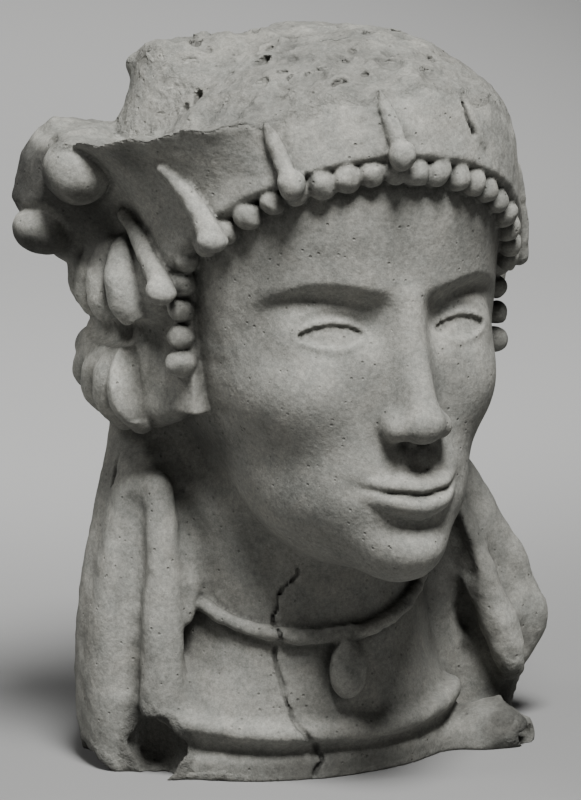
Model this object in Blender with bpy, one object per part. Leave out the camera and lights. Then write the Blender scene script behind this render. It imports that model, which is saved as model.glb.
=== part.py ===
"""Fired clay bust of a woman with a broken flaring crown, beads, veil and pendant.

Lengths below are in millimetres. +Z is up, -Y is the way the face looks and +X is
the figure's left. The origin is on the underside, below the axis of the neck.
"""

import math

import bmesh
import bpy
import numpy as np
from mathutils import Matrix, Vector

MM = 0.001

# Head
HEAD_Y = -33.0  # axis of the skull, forward of the neck
TEMPLE_A, TEMPLE_B = 72.0, 80.0  # half width and half depth at the bead row
THIRD = 56.0  # one third of the face, chin to hairline
CHIN_Z = 93.0
NOSE_BASE_Z = CHIN_Z + THIRD
BROW_Z = CHIN_Z + 2 * THIRD
EYE_Z = BROW_Z - 14.0
MOUTH_Z = NOSE_BASE_Z - 19.0
EYE_X = 28.5
TOP_Z = 308.0

# Bead row: an arch over the forehead, then a column down in front of each ear plate
BEAD_R = 5.6
ARCH_Z, ARCH_DROP, ARCH_TURN = 257.5, 0.0088, -6.0
ARCH_HALF = 66.0
ARCH_BEADS = 19
COLUMN_X, COLUMN_Y = 70.6, (-54.5, -51.5, -49.5, -49.0, -49.0)
COLUMN_TOP_Z, COLUMN_STEP = 218.5, 10.6

# Crown band between the beads and the line where the crown has broken away
BAND_A, BAND_B = 77.5, 85.0
BREAK_Z, BREAK_DROP, BREAK_SPREAD = 289.0, 27.0, 45.0
STUD_R = 5.8

# The one section of the crown's flaring rim that survives, between two turns
RIM_START, RIM_END, RIM_REACH = -40.0, -115.0, 48.5
RIM_SHARES = (0.0, 0.12, 0.25, 0.5, 0.8, 1.0)
RIM_BELLY = (0.36, 0.60, 0.79, 1.0, 0.96, 0.82)
EGG_UPPER, EGG_LOWER = (13.8, 15.5, 13.4), (12.6, 14.2, 9.4)

# Ear plates and hair
PLATE_BOTTOM_Z, PLATE_TOP_Z = 155.0, 226.0
HAIR_UPPER_Z, HAIR_LOWER_Z = 207.0, 168.0

# Neck, necklace, pendant and collar
NECK_A, NECK_B = 54.5, 56.0
CORD_R = 3.1
CORD_Z, CORD_RISE, CORD_TURN = 60.0, 0.0040, -12.0
PENDANT = (8.2, 6.8, 12.4)
PENDANT_Z = 46.5
COLLAR_A, COLLAR_B = 75.0, 59.5
COLLAR_Z, COLLAR_RISE = 18.5, 0.0013
COLLAR_R = 4.2

# Veil
VEIL_Y = 16.0

VOXEL = 2.0
TRIANGLES = 9600


def spread(low, high, count):
    return [low + (high - low) * i / (count - 1) for i in range(count)]


def on_ring(t, a, b, centre_y, z):
    """Point at t degrees round an ellipse: 0 faces forward, + is the figure's left."""
    r = math.radians(t)
    return Vector((a * math.sin(r), centre_y - b * math.cos(r), z))


def along(knots, count):
    """Points on a smooth curve through the knots (Catmull-Rom)."""
    knots = [Vector(k) for k in knots]
    ends = [2 * knots[0] - knots[1]] + knots + [2 * knots[-1] - knots[-2]]
    out = []
    for i in range(count):
        s = (len(knots) - 1) * i / (count - 1)
        k = min(int(s), len(knots) - 2)
        u = s - k
        p0, p1, p2, p3 = ends[k : k + 4]
        out.append(
            0.5
            * (
                2 * p1
                + (p2 - p0) * u
                + (2 * p0 - 5 * p1 + 4 * p2 - p3) * u * u
                + (3 * p1 - p0 - 3 * p2 + p3) * u * u * u
            )
        )
    return out


def ball(mesh, centre, radii, turn=(0.0, 0.0, 0.0), detail=3):
    turned = Matrix.Identity(4)
    for axis, angle in zip("XYZ", turn):
        turned = Matrix.Rotation(math.radians(angle), 4, axis) @ turned
    place = Matrix.Translation(Vector(centre)) @ turned @ Matrix.Diagonal((*radii, 1.0))
    bmesh.ops.create_icosphere(mesh, subdivisions=detail, radius=1.0, matrix=place)


def rings_to_body(mesh, rings):
    """Closed skin over rings of equal length, with a flat cap at each end."""
    rows = [[mesh.verts.new(p) for p in ring] for ring in rings]
    faces = []
    for low, high in zip(rows, rows[1:]):
        for i in range(len(low)):
            j = (i + 1) % len(low)
            faces.append(mesh.faces.new((low[i], low[j], high[j], high[i])))
    faces.append(mesh.faces.new(list(reversed(rows[0]))))
    faces.append(mesh.faces.new(rows[-1]))
    bmesh.ops.recalc_face_normals(mesh, faces=faces)


def tube(mesh, knots, radii, flat=1.0, up=(0.0, 0.0, 1.0), count=14, sides=12):
    """Rounded rod along a smooth curve; radii are spread over its length."""
    points = along(knots, count)
    rings = []
    for i, p in enumerate(points):
        ahead = (points[min(i + 1, count - 1)] - points[max(i - 1, 0)]).normalized()
        side = ahead.cross(Vector(up))
        if side.length < 1e-4:
            side = ahead.cross(Vector((1.0, 0.0, 0.0)))
        side.normalize()
        other = side.cross(ahead)
        s = (len(radii) - 1) * i / (count - 1)
        k = min(int(s), max(len(radii) - 2, 0))
        u = s - k
        r = radii[k] if len(radii) == 1 else radii[k] * (1 - u) + radii[k + 1] * u
        rings.append(
            [
                p + side * (r * math.cos(w)) + other * (r * flat * math.sin(w))
                for w in (2 * math.pi * n / sides for n in range(sides))
            ]
        )
    rings_to_body(mesh, rings)
    ball(mesh, points[0], [radii[0]] * 3, detail=2)
    ball(mesh, points[-1], [radii[-1]] * 3, detail=2)


def loft(mesh, levels, steps=26, sides=56, ripple=None):
    """Body through level ellipses (z, centre x, centre y, half x, half y)."""
    knots = [Vector(level[:3]) for level in levels]
    sizes = [Vector((level[3], level[4], 0.0)) for level in levels]
    rings = []
    for middle, size in zip(along(knots, steps), along(sizes, steps)):
        z, cx, cy = middle
        ring = []
        for n in range(sides):
            t = 360.0 * n / sides
            swell = ripple(t, z) if ripple else 0.0
            p = on_ring(t, max(size.x, 1.0) + swell, max(size.y, 1.0) + swell, cy, z)
            ring.append(p + Vector((cx, 0.0, 0.0)))
        rings.append(ring)
    rings_to_body(mesh, rings)


def arch_z(t):
    return ARCH_Z - ARCH_DROP * (t - ARCH_TURN) ** 2


def break_z(t):
    chips = 1.2 * math.sin(0.21 * t + 0.6) + 0.9 * math.sin(0.47 * t)
    return BREAK_Z - BREAK_DROP * t * t / (t * t + BREAK_SPREAD**2) + chips


def soft_union(a, b, k):
    h = np.maximum(k - np.abs(a - b), 0) / k
    return np.minimum(a, b) - h * h * k * 0.25


def ellipsoid(x, y, z, c, r):
    px, py, pz = x - c[0], y - c[1], z - c[2]
    k0 = np.sqrt((px / r[0]) ** 2 + (py / r[1]) ** 2 + (pz / r[2]) ** 2) + 1e-9
    k1 = (
        np.sqrt((px / r[0] ** 2) ** 2 + (py / r[1] ** 2) ** 2 + (pz / r[2] ** 2) ** 2)
        + 1e-9
    )
    return k0 * (k0 - 1) / k1


def bump(u, v, su, sv, p=2.0):
    return np.exp(-(np.abs(u / su) ** p) - np.abs(v / sv) ** p)


def ease(s):
    s = np.clip(s, 0, 1)
    return s * s * (3 - 2 * s)


def face_relief(x, z):
    """How far each feature of the face stands out from the plain head, from the thirds."""
    u = np.abs(x)
    # nose: a ridge from between the brows to the tip, then the wings
    s = np.clip((BROW_Z - 2 - z) / (BROW_Z - 10 - NOSE_BASE_Z), 0, 1.3)
    rise = 5.5 + 15.0 * np.clip(s, 0, 1) ** 1.15
    rise = rise * ease((BROW_Z + 10 - z) / 16) * ease((z - (NOSE_BASE_Z - 3)) / 12)
    h = rise * np.exp(-np.abs(u / (6.6 + 2.6 * np.clip(s, 0, 1) ** 2)) ** 2.4)
    h = h + 2.4 * bump(u, z - (NOSE_BASE_Z + 8), 6.5, 5.5)
    h = h + 10.0 * bump(u - 12, z - (NOSE_BASE_Z + 5.5), 5.2, 5.6, 2.3)
    # socket under a clear brow edge
    arc = BROW_Z + 1.5 + 4 * np.exp(-(((u - 32) / 17) ** 2))
    arc = arc - 0.007 * np.maximum(u - 36, 0) ** 2
    below = arc - z
    socket = ease((below + 1.5) / 7) * np.exp(-(np.maximum(below - 9, 0) ** 2) / 130)
    h = h - 8.0 * socket * np.exp(-(np.abs((u - 27) / 22.5) ** 3.2))
    h = h - 3.5 * bump(u - 14.5, z - (EYE_Z + 4), 5.5, 9)
    # eyeball between two lids
    e = (u - EYE_X) / 14.8
    up = EYE_Z + 6.3 * np.clip(1 - e * e, 0, 1) ** 0.75
    low = EYE_Z - 4.6 * np.clip(1 - e * e, 0, 1) ** 0.9
    h = h + 6.4 * bump(u - EYE_X, z - EYE_Z, 16, 10.5, 2.2)
    inside = np.minimum(up - z, z - low)
    on = ease((1.14 - np.abs(e)) / 0.14)
    h = h + 1.8 * np.exp(-(((inside + 1.5) / 1.6) ** 2)) * on
    h = h - 0.8 * ease((inside + 0.6) / 1.2) * on
    # mouth, the lips parting on a level line
    h = h + 3.2 * bump(u, z - (MOUTH_Z + 2), 24, 20)
    c = np.clip(u / 25, 0, 1.25)
    part = MOUTH_Z + 0.9 * c * c
    fade = ease((1.08 - u / 25) / 0.45)
    ut = np.clip((z - part) / (8.2 - 4.5 * c**1.5), -1, 2)
    lt = np.clip((part - z) / (9.8 - 5 * c**1.6), -1, 2)
    upper = np.clip(1 - ((ut - 0.38) / 0.66) ** 2, 0, 1) ** 0.8
    lower = np.clip(1 - ((lt - 0.42) / 0.60) ** 2, 0, 1) ** 0.8
    h = h + fade * np.where(z >= part, 4.3 * upper, 4.6 * lower)
    h = h - 1.8 * np.exp(-(((z - part) / 1.3) ** 2)) * ease((1.12 - u / 25) / 0.2)
    # hollow above the chin, chin, cheekbones
    h = h - 3.0 * bump(u, z - (CHIN_Z + 24), 17, 5)
    h = h + 2.6 * bump(u, z - (CHIN_Z + 10), 13, 9)
    h = h + 2.2 * bump(u - 37, z - (NOSE_BASE_Z + 17), 14, 15)
    return h - 1.5 * bump(u - 50, z - (MOUTH_Z + 6), 14, 20)


def head_field(x, y, z):
    """Negative inside the head: skull, forehead, middle face, jaw, chin and cheekbones as one."""
    d = ellipsoid(x, y, z, (0, HEAD_Y + 4, 220), (70, 80, 80))
    d = soft_union(d, ellipsoid(x, y, z, (0, HEAD_Y + 4, 242), (73, 84, 62)), 8)
    d = soft_union(d, ellipsoid(x, y, z, (0, HEAD_Y + 14, 186), (67, 56, 62)), 14)
    d = soft_union(d, ellipsoid(x, y, z, (0, HEAD_Y - 14, 172), (57, 62, 74)), 20)
    d = soft_union(d, ellipsoid(x, y, z, (0, HEAD_Y - 37, 126), (39, 43, 33)), 22)
    d = soft_union(d, ellipsoid(x, y, z, (0, HEAD_Y - 70, CHIN_Z + 14), (15, 15, 14)), 18)
    d = soft_union(
        d, ellipsoid(abs(x), y, z, (29, HEAD_Y - 42, NOSE_BASE_Z + 17), (20, 21, 20)), 18
    )
    return d - face_relief(x, z) * ease((-y - 52) / 30)


def head_and_face(mesh):
    """Rings round an upright axis; each point is where the head ends in that direction."""
    axis_y = HEAD_Y - 29
    angles = np.radians(np.arange(0, 360, 2.5))
    reach = np.arange(125.0, 5.0, -1.0)
    rings = []
    for z in np.arange(CHIN_Z - 4, 276.0, 1.9):
        x = np.outer(reach, np.sin(angles))
        y = axis_y - np.outer(reach, np.cos(angles))
        d = head_field(x, y, np.full_like(x, z))
        inside = d < 0
        first = np.argmax(inside, axis=0)
        ring = []
        for n in range(len(angles)):
            i = first[n]
            if inside[i, n] and i > 0:
                r = reach[i] + d[i, n] / (d[i, n] - d[i - 1, n])
            else:
                r = 4.0
            ring.append(
                Vector((r * math.sin(angles[n]), axis_y - r * math.cos(angles[n]), z))
            )
        rings.append(ring)
    rings_to_body(mesh, rings)


def rim_reach(t):
    """How far the crown still flares out: it grows towards the figure's right and ends broken."""
    s = min(max((RIM_START - t) / (RIM_START - RIM_END), 0.0), 1.0)
    return RIM_REACH * s**0.85 * (1 - float(ease((RIM_END - 3 - t) / 14)))


def crown_lower(t):
    low = arch_z(t) + 3.0 * (1 - float(ease((abs(t) - 62) / 16)))
    flap = 8.0 * float(ease((-t - 70) / 18)) * (1 - float(ease((-t - 101) / 14)))
    return max(low, 205.0 + flap)


def crown_side(t, z):
    """How far the crown's outside stands off the band's ellipse at a turn and a height."""
    low = crown_lower(t)
    share = min(max((z - low) / (break_z(t) - low), 0.0), 1.0)
    lean = float(np.interp(share, (0, 0.12, 0.3, 0.5, 0.75, 1), (0.2, 1.6, 0.6, -0.4, -1.6, -3.4)))
    sweep = share**2.1
    belly = float(np.interp(share, RIM_SHARES, RIM_BELLY))
    level = sweep + (belly - sweep) * float(ease((-t - 91) / 20))
    return lean + rim_reach(t) * level


def crown_point(t, z, rise):
    off = crown_side(t, z) + rise
    return on_ring(t, BAND_A * (1 + off / 80), BAND_B * (1 + off / 80), HEAD_Y, z)


def top_z(t, out):
    """Height of the broken top: a slope in front, a dome on the figure's left and, on the
    figure's right, an upright wall that rises behind a level ledge."""
    edge = break_z(t)
    rough = 1.4 * math.sin(math.radians(4 * t) + 9 * out) + 1.1 * math.sin(
        math.radians(7 * t) - 14 * out
    )
    inner = min(out, 1.0)
    slope = edge + (TOP_Z - 3.0 - edge) * (1 - inner**2.1)
    dome = 256.0 + (TOP_Z - 257.0) * math.sqrt(1 - inner**2)
    plateau = 297.0 + 8.0 * (1 - inner**2)
    foot = 0.82 + 0.17 * float(ease((-t - 80) / 30))
    wall = edge - 2 + (plateau - edge + 2) * float(ease((foot - out) / 0.17 + 0.5))
    left = float(ease((-t - 78) / 26)) * (1 - float(ease((-t - 126) / 34)))
    right = max(float(ease((t - 28) / 34)), float(ease((-t - 126) / 34)))
    return slope + left * (wall - slope) + right * (dome - slope) + rough * inner * (1 - right)


def crown(mesh):
    turns = spread(-180.0, 180.0, 121)[:-1]
    rings = [
        [on_ring(t, 55, 62, HEAD_Y, crown_lower(t) - 1) for t in turns],
        [on_ring(t, BAND_A - 5, BAND_B - 6, HEAD_Y, crown_lower(t) - 1) for t in turns],
    ]
    for share in (0.04, 0.14, 0.26, 0.4, 0.55, 0.7, 0.85, 0.97):
        ring = []
        for t in turns:
            low = crown_lower(t)
            ring.append(crown_point(t, low + (break_z(t) - low) * share, 0.0))
        rings.append(ring)
    # over the lip, in along the broken top, by shares of the band's ellipse
    edges = [1 + (crown_side(t, break_z(t)) - 1.5) / 80 for t in turns]
    shares = (1.0, 0.66, 0.33, 0.0, 0.97, 0.93, 0.89, 0.85, 0.81, 0.76, 0.68, 0.55, 0.4, 0.25, 0.1)
    for n, share in enumerate(shares):
        ring = []
        for t, edge in zip(turns, edges):
            if n < 4:
                out = 1.05 + (edge - 1.05) * share if edge > 1.05 else edge - 0.003 * n
            else:
                out = min(share, edge - 0.003 * n)
            ring.append(on_ring(t, BAND_A * out, BAND_B * out, HEAD_Y, top_z(t, out)))
        rings.append(ring)
    rings_to_body(mesh, rings)
    # egg ornament on the flaring outside of the rim
    ball(mesh, crown_point(-98.5, 251.0, -0.5), EGG_UPPER)
    ball(mesh, crown_point(-110, 224.0, -3.5), EGG_LOWER, turn=(0, 12, 0))
    # upright rods over the band: turn and height of each end, rises, radii, size of the foot
    for top_t, top, low_t, low, rises, radii, foot in (
        (-93, 233, -78, 207, (0.6, 2.6, 4.8), (2.4, 3.8, 5.0), (6.0, 6.4, 4.6)),
        (-72, 256, -59.5, 230.5, (0.4, 2.2, 4.6), (2.4, 3.8, 4.8), (6.0, 5.4, 4.4)),
        (-44.5, 274.5, -38, 255.5, (0.2, 1.4, 2.2), (1.8, 3.2, 3.2), (STUD_R, STUD_R, STUD_R)),
        (-12, 288, -7.5, 266.5, (0.0, 1.2, 2.2), (1.6, 2.8, 3.2), (STUD_R, STUD_R, STUD_R)),
        (18, 281, 24, 264, (-1.0, -1.0, -1.2), (1.8, 2.4, 2.0), None),
        (60, 250, 68, 212, (-0.6, 0.2, 1.2), (2.0, 3.0, 3.8), None),
    ):
        knots = [
            crown_point(top_t + (low_t - top_t) * s, top + (low - top) * s, rise)
            for s, rise in zip((0.0, 0.5, 1.0), rises)
        ]
        tube(mesh, knots, radii, count=10)
        if foot:
            ball(mesh, knots[-1] + Vector((0, -1.8, -2.5)), foot, detail=2)


def beads(mesh):
    for t in spread(-ARCH_HALF, ARCH_HALF, ARCH_BEADS):
        p = on_ring(t, TEMPLE_A + 1.6, TEMPLE_B + 2.0, HEAD_Y, arch_z(t) - 0.6)
        ball(mesh, p, (BEAD_R, BEAD_R, BEAD_R), detail=2)
    for s in (-1, 1):
        for i, y in enumerate(COLUMN_Y):
            r = BEAD_R + (0.8 if i == len(COLUMN_Y) - 1 else 0.2)
            ball(mesh, (s * COLUMN_X, y, COLUMN_TOP_Z - COLUMN_STEP * i), (r, r, r), detail=2)


def bunch(mesh, side, middle, size, start, ends, bend, radii):
    """Locks that fan over a rounded mass from one gathered point. start and ends are
    (towards the back, up) from the middle, on the mass seen from the side."""

    def at(u, w):
        depth = math.sqrt(max(1 - (u / size[1]) ** 2 - (w / size[2]) ** 2, 0.02))
        return (side * (middle[0] + size[0] * depth), middle[1] + u, middle[2] + w)

    ball(mesh, (side * middle[0], middle[1], middle[2]), [r - 1.5 for r in size])
    for (u, w), bow in zip(ends, bend):
        knots = []
        for s in spread(0.0, 1.0, 6):
            arc = math.sin(math.pi * s)
            knots.append(
                at(start[0] + (u - start[0]) * s + bow * arc,
                   start[1] + (w - start[1]) * s + abs(bow) * 0.25 * arc)
            )
        tube(mesh, knots, radii, count=12)


def plates_and_hair(mesh):
    for s in (-1, 1):
        corners = (
            (58, -48), (65, -52), (68.4, -50), (77, -29), (74, -24), (60, -24),
        )
        heights = (
            (PLATE_BOTTOM_Z, -1.0), (PLATE_BOTTOM_Z + 2, 0.0),
            (190.0, 1.0), (PLATE_TOP_Z, 3.0),
        )
        rings_to_body(
            mesh,
            [[Vector((s * (x + out), y, z)) for x, y in corners] for z, out in heights],
        )
        # two bunches of locks, one above the other; the figure's left ones lie flatter
        inset = 0.0 if s < 0 else -7.0
        ball(mesh, (s * (64 + inset * 0.5), 4, 190), (13, 30, 38))
        bunch(
            mesh, s, (71 + inset, -10, HAIR_UPPER_Z), (18.5, 37, 24), (-11, 22),
            ((28, -8), (20, -15), (9, -18), (-4, -19), (-20, -18)),
            (13, 10, 6, 2, -3), (2.4, 5.4, 7.2, 7.6, 5.4),
        )
        bunch(
            mesh, s, (67 + inset, -4, HAIR_LOWER_Z), (17.5, 36, 23), (-19, 16),
            ((24, 13), (32, 2), (29, -12), (16, -18), (0, -20), (-12, -19)),
            (1, 6, 9, 7, 3, 0), (2.6, 5.8, 7.8, 8.2, 5.6),
        )


def neck(mesh):
    loft(
        mesh,
        [
            (-14, 0, 2, 75, 59.5),
            (2, 0, 2, 75, 58.5),
            (9, 0, 1, 74.5, 57.5),
            (13, 0, 1, 72, 56),
            (18, 0, 1, 73, 57.8),
            (24, 0, 1, 71, 57.6),
            (36, 0, 0, 63, 57.0),
            (50, 0, 0, 57, 56.2),
            (66, 0, 0, NECK_A, NECK_B),
            (92, 0, -2, 53, 55),
            (116, 0, -8, 52, 54),
            (140, 0, -16, 46, 52),
        ],
        steps=26,
    )
    tube(mesh, [(0, -40, 112), (0, -62, 110), (0, -86, 108)], [26, 24, 18], flat=0.7)
    cord = [
        on_ring(t, NECK_A + 2.5, NECK_B + 2.0, 0, CORD_Z + CORD_RISE * (t - CORD_TURN) ** 2)
        for t in spread(-96, 96, 17)
    ]
    tube(mesh, cord, [CORD_R], count=40, sides=10)
    ball(mesh, (-2.0, -NECK_B - 4.6, PENDANT_Z), PENDANT)
    ball(mesh, (-2.0, -NECK_B - 2.8, PENDANT_Z + 10.5), (4.0, 3.6, 6.0), detail=2)
    collar = [
        on_ring(t, COLLAR_A - 2, COLLAR_B - 1, 0, COLLAR_Z + COLLAR_RISE * t * t)
        for t in spread(-66, 66, 15)
    ]
    tube(mesh, collar, [COLLAR_R], count=34, sides=10)


def veil(mesh):
    """Cloth over the back of the head and down both sides of the neck, in upright folds."""

    def folds(t, z):
        low = min(max((150.0 - z) / 110.0, 0.0), 1.0)
        return low * (
            2.0 * math.cos(math.radians(12 * t)) + 1.0 * math.sin(math.radians(21 * t))
        )

    loft(
        mesh,
        [
            (-14, 6, VEIL_Y + 8, 86, 50),
            (6, 6, VEIL_Y + 8, 87.5, 50),
            (30, 5, VEIL_Y + 7, 87.5, 50),
            (60, 3, VEIL_Y + 6, 84, 50),
            (95, 2, VEIL_Y + 4, 78, 50),
            (130, 1, VEIL_Y + 2, 69, 51),
            (165, 0, VEIL_Y - 3, 73, 55),
            (205, 0, VEIL_Y - 8, 75, 58),
            (245, 0, VEIL_Y - 16, 76, 58),
            (270, 0, VEIL_Y - 22, 68, 50),
            (282, 0, VEIL_Y - 30, 50, 38),
        ],
        steps=34,
        sides=120,
        ripple=folds,
    )
    for knots, radii in (
        # the figure's right: outer fold, its rounded back, the tongue beside the neck
        (
            [(-62, 2, 150), (-68, -2, 126), (-73, -3, 94), (-76, 0, 58), (-77, 1, 28), (-76, 2, -9)],
            [6, 9.5, 12, 13, 13, 12],
        ),
        (
            [(-65, 13, 148), (-71, 13, 112), (-75.5, 14, 75), (-77, 15, 40), (-76, 15, -9)],
            [6, 9, 10.8, 11.4, 11],
        ),
        (
            [(-66, -16, 119), (-66, -18, 100), (-66.5, -20, 72), (-67, -21, 46), (-67, -21.5, 20), (-66, -22, -9)],
            [5.5, 7.4, 8.4, 9, 9.2, 9.4],
        ),
        # the figure's left: the wide outer sheet, the ridge on it and the sheet's edge
        (
            [(66, 8, 136), (78, 4, 100), (91, 2, 72), (101, 0, 50), (98, 0, 28), (88, 0, -9)],
            [10, 14, 16, 16, 15, 12],
        ),
        (
            [(65, -6, 126), (73, -12, 96), (81, -17, 73), (88, -20, 53), (93, -22, 38), (97, -20, 28)],
            [4.5, 6.5, 7.5, 8, 7.5, 6],
        ),
        (
            [(82, 0, 114), (94, -4, 90), (106, -6, 68), (113.5, -7, 46), (109, -6, 32)],
            [4, 5, 6.5, 7, 5.5],
        ),
        # broken mass that joins it to the neck near the base
        ([(62, -32, 4), (78, -29, 5), (88, -20, 6)], [11, 13, 11]),
    ):
        tube(mesh, knots, radii, up=(0, 1, 0), count=18, sides=16)


def hollows(mesh):
    """What is cut back: the recess below the locks, the valleys of the veil and its breaks."""
    ball(mesh, (-84, -32, 141), (21, 30, 12))
    tube(mesh, [(60, -20, 108), (64, -24, 92), (68, -27, 72), (70, -31, 54)], [4, 7.5, 8, 5])
    for centre, radii in (
        ((-70, -24, 12), (12, 12.5, 15)),
        ((-90, 14, -3), (14, 22, 11)),
        ((98, -36, 19), (13, 13, 10)),
        ((116, -2, -3), (17, 34, 12)),
    ):
        ball(mesh, centre, radii)


def finish(mesh, name):
    bmesh.ops.scale(mesh, vec=(MM, MM, MM), verts=mesh.verts)
    data = bpy.data.meshes.new(name)
    mesh.to_mesh(data)
    mesh.free()
    body = bpy.data.objects.new(name, data)
    bpy.context.scene.collection.objects.link(body)
    return body


def add_modifier(body, name, kind, **values):
    modifier = body.modifiers.new(name, kind)
    for key, value in values.items():
        setattr(modifier, key, value)
    return modifier


def fired_clay():
    clay = bpy.data.materials.new("terracotta")
    clay.use_nodes = True
    shader = clay.node_tree.nodes["Principled BSDF"]
    shader.inputs["Base Color"].default_value = (0.205, 0.200, 0.180, 1.0)
    shader.inputs["Roughness"].default_value = 0.88
    shader.inputs["Metallic"].default_value = 0.0
    clay.diffuse_color = (0.205, 0.200, 0.180, 1.0)
    clay.roughness = 0.88
    return clay


def main():
    for thing in list(bpy.data.objects):
        bpy.data.objects.remove(thing, do_unlink=True)

    clay = bmesh.new()
    head_and_face(clay)
    crown(clay)
    beads(clay)
    plates_and_hair(clay)
    neck(clay)
    veil(clay)
    bust = finish(clay, "bust")
    bust.data.materials.append(fired_clay())

    cut = bmesh.new()
    hollows(cut)
    cutter = finish(cut, "hollow_cutter")
    add_modifier(cutter, "fuse", "REMESH", mode="VOXEL", voxel_size=1.25 * VOXEL * MM)

    # everything below the resting plane is cut away flat
    block = bmesh.new()
    bmesh.ops.create_cube(
        block, size=1.0, matrix=Matrix.Translation((0, 0, -60)) @ Matrix.Diagonal((500, 500, 120, 1))
    )
    base = finish(block, "base_cutter")
    for helper in (cutter, base):
        helper.hide_render = True
        helper.display_type = "WIRE"

    add_modifier(bust, "fuse", "REMESH", mode="VOXEL", voxel_size=VOXEL * MM)
    add_modifier(
        bust, "hollows", "BOOLEAN", operation="DIFFERENCE", solver="EXACT", object=cutter
    )
    add_modifier(bust, "settle", "REMESH", mode="VOXEL", voxel_size=VOXEL * MM)
    add_modifier(bust, "soften", "SMOOTH", factor=0.5, iterations=1)
    lighten = add_modifier(bust, "lighten", "DECIMATE", ratio=0.1)
    graph = bpy.context.evaluated_depsgraph_get()
    lighten.show_viewport = lighten.show_render = False
    bpy.context.view_layer.update()
    graph = bpy.context.evaluated_depsgraph_get()
    fused = bust.evaluated_get(graph).to_mesh()
    fused.calc_loop_triangles()
    lighten.ratio = TRIANGLES / len(fused.loop_triangles)
    bust.evaluated_get(graph).to_mesh_clear()
    lighten.show_viewport = lighten.show_render = True
    add_modifier(
        bust, "underside", "BOOLEAN", operation="DIFFERENCE", solver="EXACT", object=base
    )


main()
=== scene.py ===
"""Looks of the fired clay bust: one modelled skin that stands for the solid, its clay finish, a plain studio and the camera."""

import math

import bmesh
import bpy
import numpy as np
from mathutils import Matrix, Vector
from mathutils.kdtree import KDTree


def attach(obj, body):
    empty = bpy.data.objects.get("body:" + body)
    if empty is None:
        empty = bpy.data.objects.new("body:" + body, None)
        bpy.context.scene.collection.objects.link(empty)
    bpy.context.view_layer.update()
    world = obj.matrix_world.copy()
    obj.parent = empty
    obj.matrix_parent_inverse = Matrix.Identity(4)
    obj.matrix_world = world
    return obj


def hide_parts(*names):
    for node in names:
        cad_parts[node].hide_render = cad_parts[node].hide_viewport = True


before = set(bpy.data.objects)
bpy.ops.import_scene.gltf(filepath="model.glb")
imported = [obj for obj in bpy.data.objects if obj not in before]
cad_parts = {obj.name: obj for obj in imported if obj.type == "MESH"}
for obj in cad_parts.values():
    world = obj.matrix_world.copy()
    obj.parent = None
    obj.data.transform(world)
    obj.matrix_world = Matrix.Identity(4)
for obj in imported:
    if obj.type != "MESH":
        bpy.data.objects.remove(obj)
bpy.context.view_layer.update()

# ---- shape: begin
# Lengths in millimetres, in the same frame as the solid.
HEAD_Y = -33.0
TEMPLE_A, TEMPLE_B = 72.0, 80.0
THIRD = 56.0
CHIN_Z = 93.0
NOSE_BASE_Z = CHIN_Z + THIRD
BROW_Z = CHIN_Z + 2 * THIRD
EYE_Z = BROW_Z - 14.0
MOUTH_Z = NOSE_BASE_Z - 19.0
EYE_X = 28.5
TOP_Z = 308.0
BEAD_R = 5.5
ARCH_BEADS = 19
ARCH_Z, ARCH_DROP, ARCH_TURN = 257.5, 0.0088, -6.0
BAND_A, BAND_B = 77.5, 85.0
BREAK_Z, BREAK_DROP, BREAK_SPREAD = 289.0, 27.0, 45.0
RIM_START, RIM_END, RIM_REACH = -40.0, -115.0, 48.5
NECK_A, NECK_B = 54.5, 56.0
CORD_Z, CORD_RISE, CORD_TURN = 60.0, 0.0040, -12.0
COLLAR_A, COLLAR_B = 75.0, 59.5
COLLAR_Z, COLLAR_RISE = 18.5, 0.0013
VEIL_Y = 16.0

STEP = 1.05
LOW = np.array([-131.0, -141.0, -4.0])
HIGH = np.array([121.0, 86.0, 316.0])


def soft_union(a, b, k):
    h = np.maximum(k - np.abs(a - b), 0) / k
    return np.minimum(a, b) - h * h * k * 0.25


def soft_cut(a, b, k):
    """a without b."""
    return -soft_union(-a, b, k)


def ease(s):
    s = np.clip(s, 0, 1)
    return s * s * (3 - 2 * s)


def bump(u, v, su, sv, p=2.0):
    return np.exp(-(np.abs(u / su) ** p) - np.abs(v / sv) ** p)


LATTICE = np.random.default_rng(7).random((32, 32, 32)).astype(np.float32) * 2 - 1


def noise(x, y, z, size, seed=0):
    """Smooth value noise from -1 to 1 with lumps of about that size."""
    out = np.zeros(np.broadcast(x, y, z).shape, np.float32)
    parts = []
    for v, shift in ((x, 3.7), (y, 11.3), (z, 23.9)):
        v = np.asarray(v, np.float32) / size + shift * (seed + 1)
        low = np.floor(v)
        f = v - low
        i = low.astype(np.int32) & 31
        parts.append((i, (i + 1) & 31, f * f * (3 - 2 * f)))
    (x0, x1, fx), (y0, y1, fy), (z0, z1, fz) = parts
    for i, wx in ((x0, 1 - fx), (x1, fx)):
        for j, wy in ((y0, 1 - fy), (y1, fy)):
            out += wx * wy * (LATTICE[i, j, z0] * (1 - fz) + LATTICE[i, j, z1] * fz)
    return out


def ellipsoid(x, y, z, c, r):
    px, py, pz = x - c[0], y - c[1], z - c[2]
    k0 = np.sqrt((px / r[0]) ** 2 + (py / r[1]) ** 2 + (pz / r[2]) ** 2) + 1e-9
    k1 = (
        np.sqrt((px / r[0] ** 2) ** 2 + (py / r[1] ** 2) ** 2 + (pz / r[2] ** 2) ** 2)
        + 1e-9
    )
    return k0 * (k0 - 1) / k1


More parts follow.
